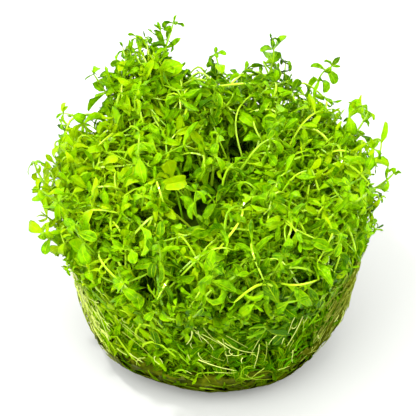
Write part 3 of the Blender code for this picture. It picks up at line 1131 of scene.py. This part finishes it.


# The mass of stems inside, which is seen only in the gaps, coloured near-black as painted shade
def buildCore():
    low = core["low"]
    radius = float(cupRadius(np.array(low))) - core["inset"]
    body = startRing("thicket_core", core["segments"], radius, low, "NGON")
    for ring in range(1, core["rings"] + 1):
        height = core["low"] + (core["top"] - core["low"]) * ring / core["rings"]
        wider = float(cupRadius(np.array(height))) - core["inset"]
        raiseRing(height - low, height, wider / radius)
        low, radius = height, wider
    for share, height in ((0.85, 0.6), (0.6, 0.9), (0.3, 1.0)):
        height = core["top"] + (core["crown"] - core["top"]) * height
        raiseRing(height - low, height, share * (wider / radius))
        low, radius = height, share * wider
    closeShape()
    bpy.ops.object.shade_smooth()
    body.data.materials.append(bodyFinish("paintedShadeCore", coreShadeLook))
    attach(body, "root")
    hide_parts("thicket")
    print("made thicket_core")


def buildWall():
    count, rings = wall["stems"], stemShape["rings"]
    azimuth = (np.arange(count) + dice.uniform(-0.5, 0.5, count)) * 2.0 * math.pi / count
    height = dice.uniform(*wall["height"], count)
    heading = math.pi / 2.0 + dice.normal(0.0, 0.9, count)
    length = dice.uniform(*wall["length"], count)
    inside = dice.uniform(*wall["inside"], count)
    paths = wallStrands(azimuth, height, heading, length, rings, -inside, wall["wander"])
    frames = pathFrames(paths)
    # painted shade: strands that lie deeper inside the wall, and their leaves, are darker
    tones = wall["tone"] - wall["shade"] * inside / mm + dice.normal(0.0, wall["toneSpread"], count)
    leaves = growLeaves(paths, frames, tones, wall)
    leaves["size"] *= 0.68 + 0.32 * rising(leaves["base"][:, 2], 10.0 * mm, 14.0 * mm)
    along, level = leafFrames(leaves)
    blades = addLeaves("wall_leaves", fineLeaf, leaves, along, level, ["thicket"])
    radii = dice.uniform(*wall["radius"], (count, 1)) * np.linspace(1.1, 0.8, rings)
    # painted light and shade added to the wall stems' tone
    tones = tones[:, None] + wall["paler"] + paintedLight(paths)
    marks = {"tone": tones, "age": agesOf(paths), "gloss": wall["gloss"] * glossOf(paths)}
    stalks = joinStems("wall_stems", stemModel, paths, frames, radii, marks, stemMaterial)
    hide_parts("thicket")


buildCore()
buildWall()


# Fine pale roots that lie over the side

roots = {
    "single": 110,
    "length": (1.5 * mm, 5.0 * mm),
    "height": (11.0 * mm, 27.0 * mm),
    "radius": (0.065 * mm, 0.135 * mm),
    "wander": 0.11,
    "bundleWander": 0.032,
    "spread": (1.6, 1.5 * mm, 13.0),
    "bundleLength": (3.5 * mm, 10.0 * mm),
    # azimuth in degrees, height, heading in degrees, count
    "bundles": (
        (-95.5, 29.0 * mm, -77.0, 6),
        (-87.0, 25.5 * mm, -64.0, 5),
        (-91.5, 19.0 * mm, -33.0, 2),
        (-139.0, 27.0 * mm, -80.0, 4),
        (-125.0, 24.0 * mm, -35.0, 3),
        (-72.0, 24.0 * mm, -100.0, 3),
        (-59.0, 29.0 * mm, -84.0, 3),
    ),
}


def buildRoots():
    count = roots["single"]
    azimuth = list(dice.uniform(0.0, 2.0 * math.pi, count))
    height = list(dice.uniform(*roots["height"], count))
    heading = list(dice.normal(-math.pi / 2.0, 0.6, count))
    length = list(dice.uniform(*roots["length"], count))
    for start, high, way, several in roots["bundles"]:
        for _ in range(several):
            offsets = dice.normal(0.0, roots["spread"])
            azimuth.append(math.radians(start + offsets[0]))
            height.append(high + offsets[1])
            heading.append(math.radians(way + offsets[2]))
            length.append(dice.uniform(*roots["bundleLength"]))
    wander = np.where(np.arange(len(azimuth)) < count, roots["wander"], roots["bundleWander"])
    count = len(azimuth)
    outside = dice.uniform(-0.2 * mm, 0.5 * mm, count)
    paths = wallStrands(
        np.array(azimuth), np.array(height), np.array(heading), np.array(length),
        stemShape["rings"], outside, wander,
    )
    radii = dice.uniform(*roots["radius"], (count, 1)) * np.linspace(1.1, 0.5, stemShape["rings"])
    marks = {"tone": dice.uniform(0.0, 0.9, count), "age": np.zeros(count), "gloss": np.ones(count)}
    frames = wallFrames(paths)
    threads = joinStems("fine_roots", stemModel, paths, frames, radii, marks, rootMaterial)


buildRoots()


# A felt of short roots on both sides, pale at the left and olive at the right
felt = {
    "count": 1700,
    "rings": 7,
    "turn": (40.0, 132.0),  # degrees from the front
    "frontFade": 16.0,
    "backFade": 24.0,
    "height": (7.0 * mm, 31.0 * mm),
    "length": (1.5 * mm, 5.0 * mm),
    "radius": (0.05 * mm, 0.10 * mm),
    "outside": (-0.3 * mm, 0.4 * mm),
    "wander": 0.24,
}


def buildFelt():
    count = felt["count"]
    turn = dice.uniform(*felt["turn"], count)
    height = dice.uniform(*felt["height"], count)
    first, last = felt["turn"]
    share = rising(turn, first, felt["frontFade"]) * falling(turn, last, felt["backFade"])
    share = share * (1.0 - 0.8 * rising(height, 17.0 * mm, 13.0 * mm))
    kept = dice.uniform(0.0, 1.0, count) < share
    turn, height = turn[kept], height[kept]
    count = len(turn)
    side = dice.choice((-1.0, 1.0), count)
    azimuth = np.radians(-90.0 + side * turn)
    heading = dice.uniform(0.0, 2.0 * math.pi, count)
    length = dice.uniform(*felt["length"], count)
    outside = dice.uniform(*felt["outside"], count)
    paths = wallStrands(azimuth, height, heading, length, felt["rings"], outside, felt["wander"])
    radii = dice.uniform(*felt["radius"], (count, 1)) * np.linspace(1.1, 0.6, felt["rings"])
    right = 0.5 + 0.5 * side
    tone = dice.uniform(0.1, 0.9, count) * (1.0 - 0.4 * right)
    brown = right * dice.uniform(0.4, 0.9, count)
    age = np.maximum(brown, 0.8 * falling(height, 14.0 * mm, 6.0 * mm))
    marks = {"tone": tone, "age": age, "gloss": np.zeros(count)}
    short = modelStem("short root", felt["rings"], stemShape["sides"])
    fibres = joinStems("root_felt", short, paths, wallFrames(paths), radii, marks, rootMaterial)


buildFelt()


# Film of dried residue: a rim round the foot that climbs up both sides, with ragged holes

film = {
    "segments": 376,
    "step": 0.5 * mm,
    "low": 0.3 * mm,
    "top": 32.0 * mm,
    "outside": 0.1 * mm,
    "thickness": 0.12 * mm,
    "front": 6.0 * mm,
    "flanks": 3.6 * mm,
    "sides": 17.0 * mm,
    "fade": 13.0 * mm,
    "most": 0.16,
    "whole": 6.5 * mm,
    "grain": 3.1 * mm,
    "fray": 1.1 * mm,
    "lumps": 0.30 * mm,
    "lump": 1.8 * mm,
}


# How high the film reaches: low in front, higher at both sides
def filmTop(azimuth):
    turn = np.degrees(np.abs((azimuth + 1.5 * math.pi) % (2.0 * math.pi) - math.pi))
    flanks = film["flanks"] * rising(turn, 15.0, 35.0)
    sides = film["sides"] * rising(turn, 46.0, 20.0) * falling(turn, 125.0, 25.0)
    return film["front"] + flanks + sides


def buildFilm():
    low = film["low"]
    radius = float(cupRadius(np.array(low)))
    sheet = startRing("residue_film", film["segments"], radius, low, "NOTHING")
    while low < film["top"]:
        height = low + film["step"]
        wider = float(cupRadius(np.array(height)))
        raiseRing(height - low, height, wider / radius)
        low, radius = height, wider
    bpy.ops.mesh.select_all(action="DESELECT")
    bpy.ops.object.mode_set(mode="OBJECT")
    mesh = sheet.data
    for face in mesh.polygons:
        place = np.array(face.center)
        azimuth, _ = polar(place)
        cover = min((filmTop(azimuth) - place[2]) / film["fade"], film["most"])
        cover += falling(place[2], film["whole"], 3.0 * mm)
        ragged = perlin(face.center / film["grain"]) + 0.55 * perlin(face.center / film["fray"])
        face.select = bool(cover + ragged < 0.0)
    bpy.ops.object.mode_set(mode="EDIT")
    bpy.ops.mesh.delete(type="FACE")
    bpy.ops.mesh.select_all(action="DESELECT")
    bpy.ops.mesh.select_non_manifold()
    bpy.ops.mesh.vertices_smooth(factor=0.5, repeat=6)
    closeShape()
    points = cornersOf(mesh)
    azimuth, radius = polar(points)
    lumps = film["lumps"] * np.array([perlin(Vector(point) / film["lump"]) for point in points])
    share = (sideRadius(azimuth, points[:, 2]) + film["outside"] + lumps) / radius
    points[:, :2] *= share[:, None]
    mesh.vertices.foreach_set("co", points.ravel())
    thick = sheet.modifiers.new("thickness", "SOLIDIFY")
    thick.thickness = film["thickness"]
    bpy.ops.object.modifier_apply(modifier="thickness")
    bpy.ops.object.shade_smooth()
    points = cornersOf(mesh)
    left = eased(0.5 - points[:, 0] / (30.0 * mm)) * rising(points[:, 2], 6.0 * mm, 12.0 * mm)
    right = eased(0.5 + points[:, 0] / (20.0 * mm))
    # painted light: the film is paler and less olive in a band about 3.8 mm up, against the shade next to
    # the floor, less so at the right
    edge = np.exp(-(((points[:, 2] - 3.8 * mm) / (1.6 * mm)) ** 2)) * (1.0 - 0.6 * right)
    age = (0.92 + 0.08 * right) * falling(points[:, 2], 18.0 * mm, 8.0 * mm) - 0.12 * edge
    marks = {"tone": 0.05 + 0.47 * left, "age": age, "gloss": 0.4 * left}
    for mark, values in marks.items():
        mesh.attributes.new(mark, "FLOAT", "POINT").data.foreach_set("value", values.astype(np.float32))
    mesh.materials.append(strandFinish("residueFilm", filmLook, 1100.0, 2.2))
    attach(sheet, "root")
    mesh.calc_loop_triangles()
    print("made residue_film", len(mesh.loop_triangles), "triangles")


buildFilm()


# A few leaves that lie flat over the rim of the mat

rimLeaves = {
    "inside": (-0.45 * mm, -0.3 * mm),
    # azimuth in degrees, height, way of the blade in degrees, size, width and tone
    "places": (
        (-85.5, 11.0 * mm, -92.0, 0.72, 0.95, 0.10),
        (-101.0, 9.5 * mm, -150.0, 0.80, 0.70, 0.30),
        (-118.0, 10.5 * mm, -60.0, 0.85, 0.60, 0.35),
        (-131.0, 9.0 * mm, -20.0, 0.70, 0.75, 0.40),
        (-73.0, 9.0 * mm, -25.0, 0.85, 0.65, 0.25),
        (-60.0, 10.0 * mm, -140.0, 0.75, 0.70, 0.30),
        (-44.0, 9.5 * mm, -80.0, 0.70, 0.60, 0.20),
        (20.0, 9.0 * mm, -60.0, 0.80, 0.70, 0.30),
        (95.0, 10.0 * mm, -120.0, 0.80, 0.70, 0.30),
        (160.0, 9.0 * mm, -40.0, 0.80, 0.70, 0.30),
    ),
}


def buildRimLeaves():
    azimuth, height, way, size, width, tone = np.array(rimLeaves["places"]).T
    level = outwards(np.radians(azimuth))
    way = np.radians(way)[:, None]
    along = np.cross(up, level) * np.cos(way) + up * np.sin(way)
    radius = sideRadius(np.radians(azimuth), height)
    base = level * radius[:, None] + up * height[:, None]
    leaves = {"base": base, "size": size, "width": width, "tone": tone}
    flat = addLeaves("rim_leaves", fineLeaf, leaves, along, level, ["root_mat"], rimLeaves["inside"])


buildRimLeaves()


# Floor, light and camera

stageLook = {
    "floorSize": 3.0,
    "floor": (0.254, 0.2585, 0.246, 1.0),
    "roughness": 0.7,
    "litPoint": (0.0, 0.0, 30.0 * mm),
    "sky": 3.2,
}
lights = {
    # name: place, size and power
    "left": ((-0.42, -0.40, 0.60), 0.6, 8.6),
    "right": ((0.42, -0.40, 0.60), 0.6, 7.8),
    "back": ((0.30, 0.55, 0.50), 0.5, 1.7),
    "glint": ((-0.25, -0.05, 0.70), 0.05, 5.0),
}
camera = {
    "elevation": math.radians(46.0),
    "distance": 0.470,
    "aim": (-1.2 * mm, 0.0, 33.1 * mm),
    "lens": 183.0,
}


def addFloor():
    bpy.ops.object.select_all(action="DESELECT")
    bpy.ops.mesh.primitive_plane_add(size=stageLook["floorSize"])
    floor = bpy.context.object
    floor.name = "floor"
    finish = startFinish("paleFloor")
    surface = addNode(finish, "ShaderNodeBsdfPrincipled")
    surface.inputs["Base Color"].default_value = stageLook["floor"]
    surface.inputs["Roughness"].default_value = stageLook["roughness"]
    floor.data.materials.append(endFinish(finish, surface.outputs["BSDF"]))


def addLight(name, place, size, power):
    bpy.ops.object.light_add(type="AREA", location=place)
    lamp = bpy.context.object
    lamp.name = name
    lamp.data.shape = "DISK"
    lamp.data.size = size
    lamp.data.energy = power
    way = Vector(stageLook["litPoint"]) - Vector(place)
    lamp.rotation_euler = way.to_track_quat("-Z", "Y").to_euler()


def addCamera():
    reach = camera["distance"] * math.cos(camera["elevation"])
    lift = camera["distance"] * math.sin(camera["elevation"])
    place = Vector((0.0, -reach, lift))
    bpy.ops.object.camera_add(location=place)
    view = bpy.context.object
    view.rotation_euler = (Vector(camera["aim"]) - place).to_track_quat("-Z", "Y").to_euler()
    view.data.lens = camera["lens"]
    view.data.clip_start = 0.01
    bpy.context.scene.camera = view


addFloor()
for lightName, settings in lights.items():
    addLight(lightName, *settings)
world = bpy.data.worlds.new("studio")
world.use_nodes = True
sky = world.node_tree.nodes["Background"]
sky.inputs["Color"].default_value = (1.0, 1.0, 1.0, 1.0)
sky.inputs["Strength"].default_value = stageLook["sky"]
bpy.context.scene.world = world
bpy.context.scene.view_settings.view_transform = "Standard"
addCamera()
print("set up floor, lights and camera")
